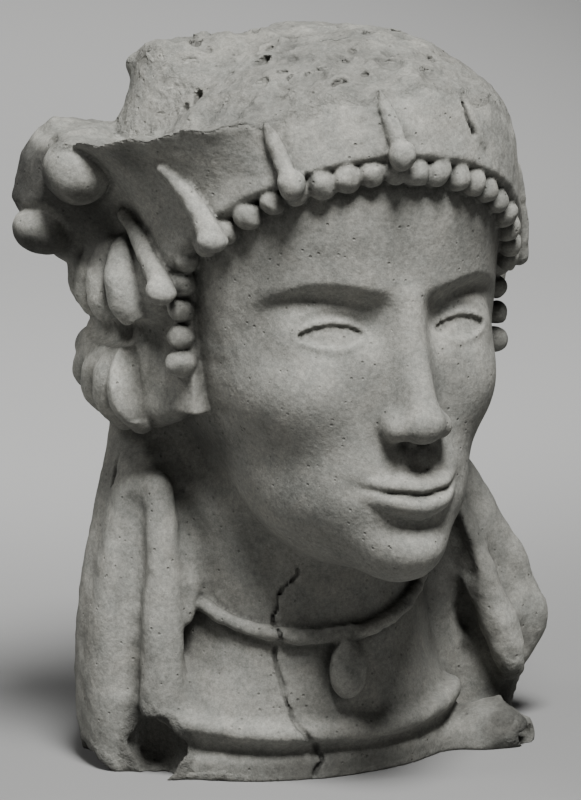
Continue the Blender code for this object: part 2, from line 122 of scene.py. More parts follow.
def face_relief(x, z):
    """How far the broad features of the face stand out from the plain head, from the thirds."""
    u = np.abs(x)
    # socket under a clear brow edge
    arc = BROW_Z + 1.5 + 4 * np.exp(-(((u - 32) / 17) ** 2))
    arc = arc - 0.007 * np.maximum(u - 36, 0) ** 2
    below = arc - z
    socket = ease((below + 3.0) / 10) * np.exp(-(np.maximum(below - 9, 0) ** 2) / 130)
    h = -7.0 * socket * np.exp(-(np.abs((u - 28) / 21.5) ** 3.0))
    h = h - 3.0 * bump(u - 14.5, z - (EYE_Z + 3), 5.5, 9)
    # mouth, the lips parting on a level line
    h = h + 3.2 * bump(u, z - (MOUTH_Z + 2), 23, 20)
    c = np.clip(u / 20.5, 0, 1.25)
    part = MOUTH_Z + 1.6 * c * c - 0.7 * np.exp(-((u / 5) ** 2))
    fade = ease((1.12 - u / 20.5) / 0.62)
    ut = np.clip((z - part) / (8.6 - 4.4 * c**1.5 - 1.2 * np.exp(-((u / 3) ** 2))), -1, 2)
    lt = np.clip((part - z) / (10.6 - 5.0 * c**1.6), -1, 2)
    upper = np.clip(1 - ((ut - 0.36) / 0.68) ** 2, 0, 1) ** 0.9
    lower = np.clip(1 - ((lt - 0.42) / 0.62) ** 2, 0, 1) ** 0.9
    h = h + fade * np.where(z >= part, 4.4 * upper, 4.9 * lower)
    h = h - 1.3 * np.exp(-(((z - part) / 1.3) ** 2)) * ease((1.10 - u / 20.5) / 0.25)
    h = h - 1.2 * bump(u - 23, z - MOUTH_Z - 1.4, 4.0, 4.6)
    groove = ease((z - MOUTH_Z - 8) / 3) * ease((NOSE_BASE_Z - z) / 3)
    h = h + (0.8 * np.exp(-(((u - 4.6) / 1.9) ** 2)) - 1.2 * np.exp(-((u / 2.8) ** 2))) * groove
    # hollow above the chin, chin, cheekbones
    h = h - 2.6 * bump(u, z - (CHIN_Z + 23), 16, 6)
    h = h + 3.0 * bump(u, z - (CHIN_Z + 10), 12, 9)
    h = h + 2.6 * bump(u - 36, z - (NOSE_BASE_Z + 17), 14, 15)
    return h - 2.0 * bump(u - 47, z - (MOUTH_Z + 6), 14, 20)


def head_field(x, y, z):
    """Negative inside the head: skull, forehead, middle face, jaw, chin and cheekbones as one."""
    d = ellipsoid(x, y, z, (0, HEAD_Y + 4, 220), (70, 80, 80))
    d = soft_union(d, ellipsoid(x, y, z, (0, HEAD_Y + 4, 242), (73, 84, 62)), 8)
    d = soft_union(d, ellipsoid(x, y, z, (0, HEAD_Y + 14, 186), (67, 56, 62)), 14)
    d = soft_union(d, ellipsoid(x, y, z, (0, HEAD_Y - 14, 172), (57, 62, 74)), 20)
    d = soft_union(d, ellipsoid(x, y, z, (0, HEAD_Y - 37, 126), (39, 43, 33)), 22)
    d = soft_union(d, ellipsoid(x, y, z, (0, HEAD_Y - 70, CHIN_Z + 14), (15, 15, 14)), 18)
    d = soft_union(
        d, ellipsoid(abs(x), y, z, (29, HEAD_Y - 42, NOSE_BASE_Z + 17), (20, 21, 20)), 18
    )
    return d - face_relief(x, z) * ease((-y - 52) / 30)


def arch_z(t):
    return ARCH_Z - ARCH_DROP * (t - ARCH_TURN) ** 2


def break_z(t):
    chips = 1.2 * np.sin(0.21 * t + 0.6) + 0.9 * np.sin(0.47 * t)
    dip = 4.5 * np.exp(-(((t + 88) / 13) ** 2))
    return BREAK_Z - BREAK_DROP * t * t / (t * t + BREAK_SPREAD**2) + chips - dip


def rim_reach(t):
    """How far the crown still flares out: it grows towards the figure's right and ends broken."""
    s = np.clip((RIM_START - t) / (RIM_START - RIM_END), 0, 1)
    return RIM_REACH * s**0.85 * (1 - ease((RIM_END - 3 - t) / 14))


def crown_lower(t):
    low = arch_z(t) + 3.0 * (1 - ease((np.abs(t) - 62) / 16))
    return np.maximum(low, 205.0 + 8.0 * ease((-t - 70) / 18) * (1 - ease((-t - 101) / 14)))


def crown_side(t, z):
    """How far the crown's outside stands off the band's ellipse at a turn and a height."""
    low = crown_lower(t)
    share = np.clip((z - low) / (break_z(t) - low), 0, 1.1)
    lean = np.interp(share, [0, 0.12, 0.3, 0.5, 0.75, 1.0], [0.2, 1.6, 0.6, -0.4, -1.6, -3.4])
    flare = share**2.1
    belly = np.interp(share, [0, 0.12, 0.25, 0.5, 0.8, 1.0], [0.36, 0.60, 0.79, 1.0, 0.96, 0.82])
    level = flare + (belly - flare) * ease((-t - 91) / 20)
    return lean + rim_reach(t) * level


def crown_point(t, z, rise):
    """Point on the crown's outside, raised by rise."""
    off = float(crown_side(np.float64(t), np.float64(z))) + rise
    return on_ring(t, BAND_A * (1 + off / 80), BAND_B * (1 + off / 80), HEAD_Y, z)


def crown_field(x, y, z):
    """Band over the beads, the flaring rim on the figure's right and the broken top."""
    t = np.degrees(np.arctan2(x / BAND_A, -(y - HEAD_Y) / BAND_B))
    out = np.sqrt((x / BAND_A) ** 2 + ((y - HEAD_Y) / BAND_B) ** 2)
    edge = break_z(t)
    rim = np.clip((out - 1.0) * 80.0 / 24.0, 0, 1)
    side = (out - 1.0) * 80.0 - crown_side(t, z)
    side = side + 0.6 * noise(x, y, z, 30.0, 15)
    # the break: a slope in front, a dome on the figure's left, an upright wall at the right
    inner = np.clip(out, 0, 1)
    slope = edge + (TOP_Z - 3.0 - edge) * (1 - inner**2.1)
    dome = 256.0 + (TOP_Z - 257.0) * np.sqrt(1 - inner**2)
    plateau = 297.0 + 8.0 * (1 - inner**2)
    foot = 0.82 + 0.17 * ease((-t - 80) / 30)
    wall = edge - 2 + (plateau - edge + 2) * ease((foot - out) / 0.17 + 0.5)
    left = ease((-t - 78) / 26) * (1 - ease((-t - 126) / 34))
    right = np.maximum(ease((t - 28) / 34), ease((-t - 126) / 34))
    ceiling = slope + left * (wall - slope) + right * (dome - slope)
    ceiling = ceiling + 2.5 * np.sin((out - 1.02) * 6.2) * ease((-t - 85) / 20) * ease((out - 1.02) * 9)
    crumble = 1 - 0.45 * right - 0.35 * rim
    rough = 2.0 * noise(x, y, z, 19.0, 1) + 1.5 * noise(x, y, z, 8.0, 2)
    rough = rough + 1.1 * noise(x, y, z, 4.2, 3) + 1.0 * np.abs(noise(x, y, z, 2.6, 4))
    top = (z - ceiling - rough * crumble) * 0.85
    d = -soft_union(-side, -top, 1.2 + 4.0 * ease((t + 66) / 26) + 5.0 * rim * ease((-t - 92) / 15))
    under = crown_lower(t) - z
    return -soft_union(-d, -under, 3.6 + 4.0 * rim)


def level_field(x, y, z, levels, ripple=None):
    """Body through level ellipses (z, centre x, centre y, half x, half y)."""
    rows = np.array(levels, float).T
    order = np.linspace(rows[0][0], rows[0][-1], 240)
    cx, cy, a, b = (smooth_line(rows[0], row, order) for row in rows[1:])
    cx, cy, a, b = (np.interp(z, order, row) for row in (cx, cy, a, b))
    px, py = x - cx, y - cy
    k0 = np.sqrt((px / a) ** 2 + (py / b) ** 2) + 1e-6
    k1 = np.sqrt((px / a**2) ** 2 + (py / b**2) ** 2) + 1e-6
    d = k0 * (k0 - 1) / k1
    if ripple is not None:
        d = d - ripple(np.degrees(np.arctan2(px / a, -py / b)), z)
    return np.maximum(d, np.maximum(rows[0][0] - z, z - rows[0][-1]))


def smooth_line(zs, values, at):
    """Catmull-Rom curve through the values, sampled at heights."""
    zs, values = np.asarray(zs, float), np.asarray(values, float)
    slope = np.gradient(values, zs)
    i = np.clip(np.searchsorted(zs, at) - 1, 0, len(zs) - 2)
    w = zs[i + 1] - zs[i]
    u = np.clip((at - zs[i]) / w, 0, 1)
    return (
        (2 * u**3 - 3 * u**2 + 1) * values[i]
        + (u**3 - 2 * u**2 + u) * w * slope[i]
        + (3 * u**2 - 2 * u**3) * values[i + 1]
        + (u**3 - u**2) * w * slope[i + 1]
    )


def curve(knots, count):
    knots = np.array(knots, float)
    ends = np.vstack([2 * knots[0] - knots[1], knots, 2 * knots[-1] - knots[-2]])
    s = np.linspace(0, len(knots) - 1, count)
    k = np.minimum(s.astype(int), len(knots) - 2)
    u = (s - k)[:, None]
    p0, p1, p2, p3 = ends[k], ends[k + 1], ends[k + 2], ends[k + 3]
    return 0.5 * (
        2 * p1
        + (p2 - p0) * u
        + (2 * p0 - 5 * p1 + 4 * p2 - p3) * u * u
        + (3 * p1 - p0 - 3 * p2 + p3) * u**3
    )


def on_ring(t, a, b, centre_y, z):
    r = np.radians(t)
    return (a * np.sin(r), centre_y - b * np.cos(r), z)


class Clay:
    """The whole body as one grid of signed distances: forms are pressed on and cut away."""

    def __init__(self):
        self.shape = tuple(np.ceil((HIGH - LOW) / STEP).astype(int) + 1)
        self.grid = np.full(self.shape, 25.0, np.float32)
        self.axes = [(LOW[i] + STEP * np.arange(self.shape[i])).astype(np.float32) for i in range(3)]

    def part(self, low, high):
        """Slices of the grid that cover a box, and the open coordinate arrays there."""
        cut = []
        for i in range(3):
            a = int(np.clip(np.floor((low[i] - LOW[i]) / STEP), 0, self.shape[i] - 1))
            b = int(np.clip(np.ceil((high[i] - LOW[i]) / STEP) + 1, a + 1, self.shape[i]))
            cut.append(slice(a, b))
        x, y, z = (self.axes[i][cut[i]] for i in range(3))
        return tuple(cut), x[:, None, None], y[None, :, None], z[None, None, :]

    def add(self, field, low, high, k=2.0, cut=False):
        reach = max(k, 2 * STEP) + STEP
        at, x, y, z = self.part(np.array(low) - reach, np.array(high) + reach)
        shape = tuple(s.stop - s.start for s in at)
        d = np.broadcast_to(field(x, y, z), shape).astype(np.float32)
        old = self.grid[at]
        self.grid[at] = soft_cut(old, d, k) if cut else soft_union(old, d, k)

    def engrave(self, depth, low, high):
        """Sink the surface by a depth that is a function of place."""
        at, x, y, z = self.part(np.array(low), np.array(high))
        self.grid[at] += depth(x, y, z)

    def ball(self, c, r, k=2.0, turn=(0, 0, 0), cut=False, lumps=0.0, seed=0):
        r = np.broadcast_to(np.array(r, float), 3)
        m = np.eye(3)
        for axis, angle in enumerate(turn):
            s, co = math.sin(math.radians(angle)), math.cos(math.radians(angle))
            i, j = [(1, 2), (2, 0), (0, 1)][axis]
            q = np.eye(3)
            q[i, i] = q[j, j] = co
            q[i, j], q[j, i] = -s, s
            m = q @ m
        span = np.sqrt(((m * r) ** 2).sum(1))

        def field(x, y, z):
            p = (x - c[0], y - c[1], z - c[2])
            u, v, w = (m[0, n] * p[0] + m[1, n] * p[1] + m[2, n] * p[2] for n in range(3))
            d = ellipsoid(u, v, w, (0, 0, 0), r)
            if lumps:
                d = d + lumps * noise(x, y, z, max(r.min() * 0.8, 2.5), seed)
            return d

        self.add(field, np.array(c) - span, np.array(c) + span, k, cut)

    def tube(self, knots, radii, k=2.0, flat=None, up=(0, 0, 1), cut=False, count=20, lumps=0.0, seed=0):
        """Round bar along a smooth curve. flat narrows it along up."""
        points = curve(knots, count)
        size = np.interp(np.linspace(0, 1, count), np.linspace(0, 1, len(radii)), radii)
        low, high = points.min(0) - size.max(), points.max(0) + size.max()
        reach = max(k, 2 * STEP) + STEP
        at, x, y, z = self.part(low - reach, high + reach)
        d = np.full(tuple(s.stop - s.start for s in at), 25.0, np.float32)
        start = [s.start for s in at]
        for a, b, ra, rb in zip(points, points[1:], size, size[1:]):
            lo = np.minimum(a, b) - max(ra, rb) - reach
            hi = np.maximum(a, b) + max(ra, rb) + reach
            sub, sx, sy, sz = self.part(lo, hi)
            inner = tuple(slice(s.start - o, s.stop - o) for s, o in zip(sub, start))
            ab = b - a
            px, py, pz = sx - a[0], sy - a[1], sz - a[2]
            s = np.clip((px * ab[0] + py * ab[1] + pz * ab[2]) / (ab @ ab), 0, 1)
            qx, qy, qz = px - s * ab[0], py - s * ab[1], pz - s * ab[2]
            r = ra + (rb - ra) * s
            if flat:
                n = np.array(up, float)
                n = n / np.linalg.norm(n)
                along = qx * n[0] + qy * n[1] + qz * n[2]
                total = qx * qx + qy * qy + qz * qz
                k0 = np.sqrt(np.maximum(total - along**2, 0) + (along / flat) ** 2) + 1e-6
                e = (k0 - r) * np.where(k0 > 0, np.sqrt(total) / k0, 1).clip(flat, 1)
            else:
                e = np.sqrt(qx * qx + qy * qy + qz * qz) - r
            d[inner] = np.minimum(d[inner], e)
        if lumps:
            d = d + lumps * noise(x, y, z, max(size.mean() * 0.8, 2.5), seed)
        old = self.grid[at]
        self.grid[at] = soft_cut(old, d, k) if cut else soft_union(old, d, k)


EYE_Y = HEAD_Y - 51.0


def press_head(clay):
    clay.add(head_field, (-78, -142, 84), (78, 62, 306), k=3.0)


def press_face(clay):
    """Eyes between their lids, the nose with tip, wings and nostrils, all on the plain thirds."""
    for s in (-1, 1):
        clay.ball((s * EYE_X, EYE_Y, EYE_Z), (18.5, 13.4, 13.8), k=7.0)

        def opening(x, y, z, s=s):
            e = (x * s - EYE_X) / 13.2
            up = EYE_Z + 4.6 * np.clip(1 - e * e, 0, 1) ** 0.75
            low = EYE_Z - 4.0 * np.clip(1 - e * e, 0, 1) ** 0.85
            return 2.1 * ease(np.minimum(up - z, z - low) / 1.2 + 0.4) * ease((1.02 - np.abs(e)) * 7)

        def crease(x, y, z, s=s):
            e = (x * s - EYE_X) / 15.5
            line = EYE_Z + 8.4 * np.clip(1 - e * e, 0, 1) ** 0.6
            under = EYE_Z - 7.4 * np.clip(1 - e * e, 0, 1) ** 0.6
            cut = 0.95 * np.exp(-(((z - line) / 1.3) ** 2)) + 0.5 * np.exp(-(((z - under) / 1.5) ** 2))
            return cut * ease((1 - np.abs(e)) * 2.5)

        box = (s * EYE_X - 17, EYE_Y - 20, EYE_Z - 11), (s * EYE_X + 17, EYE_Y + 4, EYE_Z + 13)
        clay.engrave(opening, *box)
        clay.engrave(crease, *box)
    base = NOSE_BASE_Z
    clay.tube([(0, -103, BROW_Z - 4), (0, -107, BROW_Z - 24), (0, -109.5, base + 14)], [6, 8, 10.5], k=7)
    clay.tube([(0, -107, BROW_Z), (0, -112.5, BROW_Z - 22), (0, -119.0, base + 20), (0, -122.0, base + 10)],
              [4.2, 4.6, 5.4, 6.4], k=6)
    clay.ball((0, -121.0, base + 8), (7.6, 7.4, 6.8), k=6)
    for s in (-1, 1):
        clay.ball((s * 8.8, -114.0, base + 6.6), (4.8, 8.6, 5.4), k=6, turn=(0, 0, s * 16))
        clay.ball((s * 5.2, -116.0, base + 0.8), (2.4, 4.6, 2.2), k=2.0, cut=True, turn=(0, 0, s * 20))


def top_of(clay, x, y):
    """Height of the highest surface over a point of the plan."""
    i, j = (int(round((v - LOW[n]) / STEP)) for n, v in enumerate((x, y)))
    return LOW[2] + STEP * np.nonzero(clay.grid[i, j] < 0)[0].max()


# tears and pits of the broken top: plan place, length, width, depth, turn
PITS = (
    (-61, -43, 4.6, 1.8, 3.0, 35), (-65, -42, 3.0, 1.6, 1.6, 60), (-48, -74, 4.4, 2.2, 2.6, 20),
    (-37, -53, 5.2, 1.7, 2.4, -15), (-17, -42, 8.0, 1.6, 2.6, -35), (-10, -58, 8.0, 1.8, 2.8, -20),
    (31, -48, 9.0, 3.6, 2.6, -18), (44, -58, 5.0, 2.6, 2.0, -40), (-26, -100, 3.6, 1.6, 2.0, 10),
    (2, -88, 3.0, 1.8, 2.0, 70), (-50, -20, 6.0, 2.0, 2.4, 50), (10, -10, 7.0, 3.0, 2.4, 15),
    (-20, 8, 6.0, 2.6, 3.0, -50), (38, -15, 4.0, 2.4, 1.6, 30),
)


def press_crown(clay):
    clay.add(crown_field, (-131, -124, 198), (84, 58, 314), k=2.0)
    clay.ball((-60, 6, 288), (8, 10, 8), k=6, lumps=1.0, seed=4)
    for n, (x, y, length, width, depth, turn) in enumerate(PITS):
        at = (x, y, top_of(clay, x, y))
        clay.ball(at, (length, width, depth), k=0.7, turn=(0, 0, turn), cut=True, lumps=0.9, seed=5 + n)
    wild = np.random.default_rng(23)
    for n in range(34):
        a, r = wild.uniform(0, 2 * math.pi), 0.86 * math.sqrt(wild.uniform(0, 1))
        x, y = 70 * r * math.cos(a), HEAD_Y + 76 * r * math.sin(a)
        size = wild.uniform(0.9, 1.8)
        at = (x, y, top_of(clay, x, y) + 0.3)
        clay.ball(at, (size * 1.5, size * 0.8, size), k=0.6, turn=(0, 0, wild.uniform(0, 180)), cut=True, lumps=0.6, seed=60 + n)
    # egg ornament on the flaring outside of the rim
    clay.ball(crown_point(-98.5, 251.0, -0.5), (13.8, 15.5, 13.6), k=0.8, lumps=0.4, seed=8)
    clay.ball(crown_point(-110, 224.0, -2.5), (12.8, 14.5, 9.6), k=0.8, turn=(0, 12, 0), lumps=0.4, seed=9)


def bar(clay, top, low, lift, r, foot=None, groove=True):
    """Upright bar laid on the crown from (turn, height) to (turn, height), with its undercut."""
    knots, cuts = [], []
    for s, rise in zip((0.0, 0.35, 0.7, 1.0), lift):
        t = top[0] + (low[0] - top[0]) * s
        z = top[1] + (low[1] - top[1]) * s
        knots.append(crown_point(t, z, rise))
        width = np.interp(s, np.linspace(0, 1, len(r)), r)
        cuts.append(crown_point(t - math.degrees((width + 0.4) / 81.0), z + 0.5, min(rise, 1.5)))
    if groove:
        clay.tube(cuts[:3], [0.9, 1.5, 1.2], k=0.4, cut=True, count=14)
    clay.tube(knots, r, k=0.7, count=14, lumps=0.3, seed=6)
    end = np.array(knots[-1])
    if foot:
        clay.ball(end + foot[0], foot[1], k=1.0, turn=foot[2], lumps=0.5, seed=7)
    return end


def press_bars(clay):
    bar(clay, (-93, 234), (-78, 208), (1.8, 3.0, 3.8, 4.8), (3.0, 3.6, 4.2, 5.0),
        ((-1.0, -2.0, -1.8), (6.0, 6.4, 4.6), (20, 0, 0)))
    bar(clay, (-72, 256), (-59.5, 230.5), (0.4, 1.8, 3.0, 4.6), (2.4, 3.4, 4.2, 4.8),
        ((-0.6, -1.8, -1.5), (6.0, 5.4, 4.4), (20, 0, 0)))
    bar(clay, (-44.5, 274.5), (-38, 255.5), (0.2, 1.0, 1.8, 2.2), (1.6, 3.0, 3.4, 3.2),
        ((0.9, -1.4, -3.2), (5.6, 5.4, 6.0), (0, 0, 0)))
    bar(clay, (-12, 288), (-7.5, 266.5), (0.0, 0.8, 1.6, 2.2), (1.2, 2.6, 3.0, 3.2),
        ((0.2, -1.6, -3.2), (5.6, 5.6, 6.0), (0, 0, 0)))
    bar(clay, (18, 281), (24, 264), (-1.2, -1.0, -1.0, -1.2), (1.6, 2.4, 2.4, 2.0))
    bar(clay, (60, 250), (68, 212), (-0.6, -0.2, 0.6, 1.2), (2.0, 2.8, 3.2, 3.8), groove=False)


def press_beads(clay):
    wild = np.random.default_rng(3).normal(size=(60, 4))
    for n, t in enumerate(np.linspace(-66, 66, ARCH_BEADS)):
        w = np.clip(wild[n], -1.5, 1.5)
        p = on_ring(t + 0.4 * w[3], TEMPLE_A + 1.6, TEMPLE_B + 2.0, HEAD_Y, arch_z(t) - 0.6 + 0.5 * w[0])
        r = BEAD_R + 0.2 * w[1]
        clay.ball(p, (r, r, r * (1.05 + 0.05 * w[2])), k=0.5, lumps=0.7, seed=n + 9)
    for s, count in ((-1, 5), (1, 5)):
        for i in range(count):
            w = np.clip(wild[30 + i + 8 * (s > 0)], -1.5, 1.5)
            r = BEAD_R + (0.9 if i == count - 1 else 0.3)
            z = 218.5 - 10.6 * i + 0.4 * w[0]
            y = -49.0 - (5.5, 2.5, 0.5, 0, 0)[i]
            clay.ball((s * (70.6 + 0.3 * w[1]), y, z), (r, r, r * 0.93), k=0.5, lumps=0.6, seed=40 + i)


def press_plates(clay):
    for s in (-1, 1):
        def plate(x, y, z, s=s):
            u = x * s
            # a flat strip whose face turns outwards towards the back
            face = (u - 67.8) * 0.93 - (y + 50) * 0.37 - np.clip((z - 155) / 40, 0, 1) * 1.2
            d = np.maximum(np.maximum(face, -face - 12.0), np.maximum(-y - 50.5 - (u - 60) * 0.3, y + 22.0))
            return np.maximum(d, np.maximum(155.0 - z, z - 226.0)) + 0.25 * noise(x, y, z, 6.0, 21)

        def beyond(x, y, z, s=s):
            u = x * s
            face = (u - 68.0) * 0.93 - (y + 50) * 0.37 - np.clip((z - 155) / 40, 0, 1) * 1.2
            return np.maximum(np.maximum(-face, y + 26.0 - (z - 155) * 0.06), np.maximum(150.0 - z, z - 184.0))

        low, high = ((54, -58, 153), (88, -20, 228)) if s > 0 else ((-88, -58, 153), (-54, -20, 228))
        clay.add(beyond, (min(s * 60, s * 100), -62, 150), (max(s * 60, s * 100), -22, 184), k=0.8, cut=True)
        clay.add(plate, low, high, k=1.0)


def bunch(clay, side, middle, size, start, ends, bend, r):
    """Locks that fan over a rounded mass from one gathered point. start and ends are
    (towards the back, up) from the middle, on the mass seen from the side."""
    def at(u, w):
        depth = math.sqrt(max(1 - (u / size[1]) ** 2 - (w / size[2]) ** 2, 0.02))
        return (side * (middle[0] + size[0] * depth), middle[1] + u, middle[2] + w)

    clay.ball((side * middle[0], middle[1], middle[2]), np.array(size) + 0.2, k=2)
    for n, (u, w) in enumerate(ends):
        knots = []
        for s in np.linspace(0, 1, 6):
            arc = math.sin(math.pi * s)
            knots.append(at(start[0] + (u - start[0]) * s + bend[n] * arc,
                            start[1] + (w - start[1]) * s + abs(bend[n]) * 0.25 * arc))
        clay.tube(knots, r, k=0.5, count=16, lumps=0.25, seed=50 + n)


def press_hair(clay):
    for s in (-1, 1):
        inset = 0.0 if s < 0 else -7.0
        clay.ball((s * (64 + inset * 0.5), 4, 190), (13, 30, 38), k=3)
        bunch(clay, s, (71 + inset, -10, 207), (18.5, 37, 24), (-11, 22),
              ((28, -8), (20, -15), (9, -18), (-4, -19), (-20, -18)), (13, 10, 6, 2, -3),
              (2.4, 5.4, 7.2, 7.6, 5.4))
        bunch(clay, s, (67 + inset, -8, 168), (17.5, 40, 24), (-17, 16),
              ((24, 13), (33, 2), (31, -12), (18, -18), (2, -20), (-14, -19)), (1, 6, 9, 7, 3, 0),
              (2.6, 5.8, 7.8, 8.2, 5.6))
        # the dark gap between the two bunches
        clay.tube([(s * (90 + inset), 16, 187), (s * (88 + inset), -8, 184.5), (s * (80 + inset), -37, 187)],
                  [3.6, 5.6, 6.0], k=1.0, cut=True)


def press_neck(clay):
    levels = [
        (-14, 0, 2, 75, 59.5), (2, 0, 2, 75, 58.5), (9, 0, 1, 74.5, 57.5), (13, 0, 1, 72, 56.0),
        (18, 0, 1, 73, 57.8), (24, 0, 1, 71, 57.6), (36, 0, 0, 63, 57.0), (50, 0, 0, 57, 56.2),
        (66, 0, 0, NECK_A, NECK_B), (92, 0, -2, 53, 55), (116, 0, -8, 52, 54), (140, 0, -16, 46, 52),
    ]
    clay.add(lambda x, y, z: level_field(x, y, z, levels), (-78, -76, -4), (78, 60, 140), k=9.0)
    clay.tube([(0, -40, 112), (0, -62, 110), (0, -86, 108)], [26, 24, 18], k=12, flat=0.7)


def press_cord(clay):
    turns = np.linspace(-84, 74, 26)
    cord = [on_ring(t, NECK_A + 2.0, NECK_B + 1.8, 0, CORD_Z + CORD_RISE * (t - CORD_TURN) ** 2) for t in turns]
    shade = [on_ring(t, NECK_A + 1.6, NECK_B + 1.4, 0, CORD_Z - 4.6 + CORD_RISE * (t - CORD_TURN) ** 2) for t in turns]
    clay.tube(shade, [1.5], k=0.8, count=60, cut=True)
    clay.tube(cord, [3.1, 3.3, 3.1], k=0.8, count=60, lumps=0.5, seed=70)
    clay.ball((-2.0, -NECK_B - 4.6, 46.5), (8.2, 6.8, 12.4), k=0.5, lumps=0.25, seed=71)
    clay.ball((-2.0, -NECK_B - 2.6, 57.0), (4.0, 3.4, 6.0), k=1.5)
    turns = np.linspace(-66, 66, 23)
    lip = [on_ring(t, COLLAR_A - 1.4, COLLAR_B - 2.0, 0, COLLAR_Z + 1 + COLLAR_RISE * t * t) for t in turns]
    clay.tube(lip, [2.6, 4.2, 4.4, 4.2, 3.0], k=6.0, count=50, lumps=0.3, seed=72)
    turns = np.linspace(-54, 62, 23)
    groove = [on_ring(t, COLLAR_A + 0.8, COLLAR_B + 0.9, 0, COLLAR_Z - 5.8 + COLLAR_RISE * t * t) for t in turns]
    clay.tube(groove, [0.7, 2.2, 2.7, 2.5, 2.2, 0.9], k=2.0, count=50, cut=True)


def veil_folds(t, z):
    low = ease((150.0 - z) / 110.0)
    return low * (2.0 * np.cos(np.radians(12 * t)) + 1.0 * np.sin(np.radians(21 * t + 0.1 * z)))


def press_veil(clay):
    levels = [
        (-14, 6, VEIL_Y + 8, 86, 50), (6, 6, VEIL_Y + 8, 87.5, 50), (30, 5, VEIL_Y + 7, 87.5, 50),
        (60, 3, VEIL_Y + 6, 84, 50), (95, 2, VEIL_Y + 4, 78, 50), (130, 1, VEIL_Y + 2, 69, 51),
        (165, 0, VEIL_Y - 3, 73, 55), (205, 0, VEIL_Y - 8, 75, 58), (245, 0, VEIL_Y - 16, 76, 58),
        (270, 0, VEIL_Y - 22, 68, 50), (282, 0, VEIL_Y - 30, 50, 38),
    ]
    clay.add(
        lambda x, y, z: level_field(x, y, z, levels, veil_folds), (-98, -50, -4), (104, 82, 284), k=3.0
    )
    clay.ball((80, -33, 5), (20, 15, 13), k=7, lumps=1.6, seed=77)
    for n, (knots, radii) in enumerate(FOLDS):
        clay.tube(knots, radii, k=FOLD_BLEND[n], count=26, lumps=0.3, seed=80 + n)


FOLD_BLEND = (8, 10, 6, 5, 10, 7, 5, 6)
FOLDS = (
    # figure's right: outer fold, its rounded back, the tongue, the rough inner ridge
    ([(-62, 2, 150), (-68, -2, 126), (-73, -3, 94), (-76, 0, 58), (-77, 1, 28), (-76, 2, -9)], [6, 9.5, 12, 13, 13, 12]),
    ([(-65, 13, 148), (-71, 13, 112), (-75.5, 14, 75), (-77, 15, 40), (-76, 15, -9)], [6, 9, 10.8, 11.4, 11]),
    ([(-66, -16, 119), (-66, -18, 100), (-66.5, -20, 72), (-67, -21, 46), (-67, -21.5, 20), (-66, -22, -9)], [5.5, 7.4, 8.4, 9, 9.2, 9.4]),
    ([(-58, -8, 122), (-56, -17, 99), (-55, -23, 82), (-57, -25, 66)], [3, 3.4, 3.2, 2.4]),
    # figure's left: the wide outer sheet, the bright ridge, the sheet's edge, the foot
    ([(66, 8, 136), (78, 4, 100), (91, 2, 72), (101, 0, 50), (98, 0, 28), (88, 0, -9)], [10, 14, 16, 16, 15, 12]),
    ([(65, -6, 126), (73, -12, 96), (81, -17, 73), (88, -20, 53), (93, -22, 38), (97, -20, 28)], [4.5, 6.5, 7.5, 8, 7.5, 6]),
    ([(82, 0, 114), (94, -4, 90), (106, -6, 68), (113.5, -7, 46), (109, -6, 32)], [4, 5, 6.5, 7, 5.5]),
    ([(62, -30, 2), (78, -25, 2), (88, -18, 2)], [10, 11, 10]),
)


def torn(clay, c, r, amount, seed):
    """A lump broken away, with a rough face."""
    c, r = np.array(c, float), np.array(r, float)

    def field(x, y, z):
        d = ellipsoid(x, y, z, c, r)
        d = d + amount * noise(x, y, z, 9.0, seed) + 0.45 * amount * noise(x, y, z, 4.0, seed + 1)
        return d + 0.3 * amount * np.abs(noise(x, y, z, 2.7, seed + 2))

    clay.add(field, c - r - amount, c + r + amount, k=0.8, cut=True)


TORN = (
    ((-70, -22, 13), (13, 13.5, 15.5), 2.2), ((-88, 14, -2), (14, 22, 11), 2.4), ((-91, 26, 8), (10, 12, 9), 2.2),
    ((96, -34, 19), (13, 13, 10), 3.0), ((112, -24, 10), (13, 22, 15), 3.2), ((114, 0, -2), (17, 36, 12), 2.6),
    ((78, -52, 19), (9, 8, 6), 1.8), ((92, -46, 4), (9, 9, 6), 1.8),
    ((-30, -70, -4), (30, 14, 6), 1.6), ((20, -70, -4), (34, 14, 5.5), 1.6), ((-60, -48, -4), (18, 16, 6), 1.6),
)


def carve_veil(clay):
    # hollow between neck and veil on the figure's left, and the valley beside the ridge
    clay.tube([(58, -14, 118), (62, -17, 94), (66, -19, 72), (68, -25, 50)], [6, 11, 12, 7], k=2.5, cut=True)
    clay.tube([(76, -20, 104), (83, -25, 88), (90, -29, 70), (102, -27, 57), (110, -22, 42)], [2.4, 3.2, 3.4, 2.8, 2.2], k=2.5, cut=True)
    clay.tube([(51, -28, 106), (54, -33, 86), (57, -37, 68), (61, -40, 54)], [5, 8.5, 8.5, 4.5], k=5, cut=True)
    # recess under the locks and the plate on the figure's right
    clay.ball((-80, -30, 141), (25, 36, 14), k=3, cut=True)
    # slot beside the tongue, and the valley that runs on from it
    clay.tube([(-77, 2, 130), (-78, 0, 108)], [1.8, 1.3], k=0.6, cut=True)
    clay.tube([(-77, -13, 112), (-78, -16, 92), (-81, -16, 66), (-83, -15, 38)], [2.2, 3.4, 3.2, 2.0], k=6, cut=True)
    for n, (c, r, amount) in enumerate(TORN):
        torn(clay, c, r, amount, 91 + 3 * n)


CRACK = ((-21, -53, 88), (-27, -50.5, 75.6), (-29, -50, 59), (-27, -51, 38), (-20, -54, 21), (-11, -56.5, 12), (-14, -59, 2))


